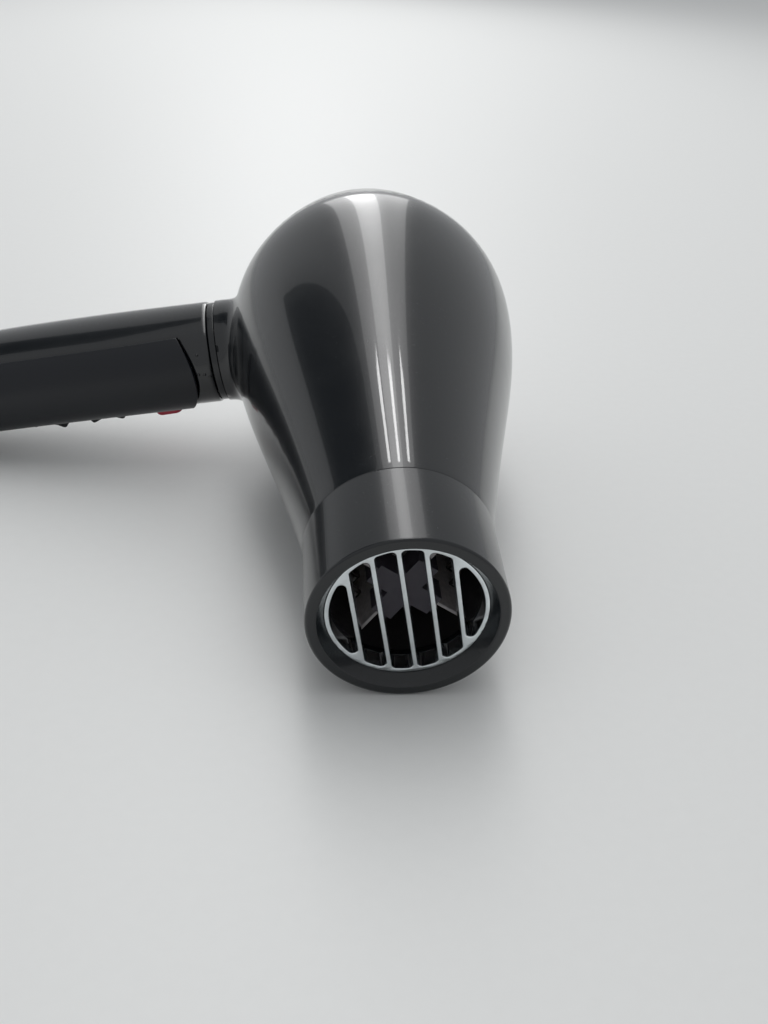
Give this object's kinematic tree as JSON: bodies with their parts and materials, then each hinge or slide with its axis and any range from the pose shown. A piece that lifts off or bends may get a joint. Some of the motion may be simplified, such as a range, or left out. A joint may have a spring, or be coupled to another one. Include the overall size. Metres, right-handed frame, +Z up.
{
  "type": "hair dryer",
  "caption": "Hand-held hair dryer lying on its side: teardrop barrel, straight outlet collar with slatted grille, removable rear filter cover and side switches on a curved handle.",
  "frame": {"origin": "centre of the bounding box on the floor that the dryer lies on", "axes": "+Z up; the outlet faces -Y, nose down onto the floor; the handle runs towards -X"},
  "size_m": [0.2237, 0.1884, 0.0928],
  "materials": {
    "gloss_black": "polished moulded plastic",
    "satin_black": "satin moulded plastic",
    "grip_black": "fine-grained moulded plastic",
    "switch_black": "moulded plastic",
    "button_red": "moulded plastic",
    "chrome_plate": "bright plating",
    "filter_mesh": "woven wire",
    "steel": "bright steel",
    "brass": "turned",
    "rubber_black": "moulded",
    "mica": "pressed mica sheet",
    "hub_grey": "moulded heat-resistant resin",
    "nichrome": "drawn wire",
    "nylon_grey": "glass-filled nylon",
    "magnet": "sintered ferrite",
    "fan_plastic": "moulded nylon",
    "circuit_board": "laminate"
  },
  "bodies": {
    "housing": {"barrel_shell": "gloss_black", "front_collar": "satin_black", "outlet_grille": "chrome_plate", "neck_ring": "satin_black", "handle_shell": "gloss_black", "handle_front_panel": "grip_black", "handle_screws": "steel", "switch_bezel": "grip_black", "button_spring": "steel", "speed_switch": "nylon_grey", "heat_switch": "nylon_grey", "cool_switch": "nylon_grey", "terminal_block": "nylon_grey", "cord_inlet": "rubber_black", "mica_tube": "mica", "mica_board_a": "mica", "mica_board_b": "mica", "heater_hub": "hub_grey", "heating_coil": "nichrome", "thermostat": "brass", "thermal_fuse": "steel", "air_funnel": "nylon_grey", "fan_duct": "nylon_grey", "motor_can": "steel", "motor_bearings": "brass", "motor_magnets": "magnet", "rectifier_board": "circuit_board"},
    "speed_rocker": {"speed_rocker": "switch_black"},
    "heat_rocker": {"heat_rocker": "switch_black"},
    "cool_shot": {"cool_shot_button": "button_red"},
    "rotor": {"motor_rotor": "steel", "fan_impeller": "fan_plastic"},
    "intake": {"rear_cover": "gloss_black", "filter_screen": "filter_mesh"}
  },
  "joints": [
    {"name": "speed_rocker_tilt", "type": "hinge", "parent": "housing", "child": "speed_rocker", "pos_m": [-0.02246, 0.05676, 0.01691], "axis": [0, 0.9875, 0.1578], "range_deg": [-10, 10]},
    {"name": "heat_rocker_tilt", "type": "hinge", "parent": "housing", "child": "heat_rocker", "pos_m": [-0.04164, 0.05783, 0.01349], "axis": [0, 0.9875, 0.1578], "range_deg": [-20, 0]},
    {"name": "cool_shot_press", "type": "slide", "parent": "housing", "child": "cool_shot", "axis": [-0.1972, -0.1547, 0.9681], "range_m": [0, 0.0025], "stiffness_N_per_m": 300, "springref_m": -0.001, "deforming": ["button_spring"]},
    {"name": "rotor_spin", "type": "hinge", "parent": "housing", "child": "rotor", "pos_m": [0.06619, 0.01822, 0.04204], "axis": [0, 0.9875, 0.1578], "continuous": true},
    {"name": "intake_pull", "type": "slide", "parent": "housing", "child": "intake", "axis": [0, 0.9875, 0.1578], "range_m": [0, 0.012]}
  ]
}
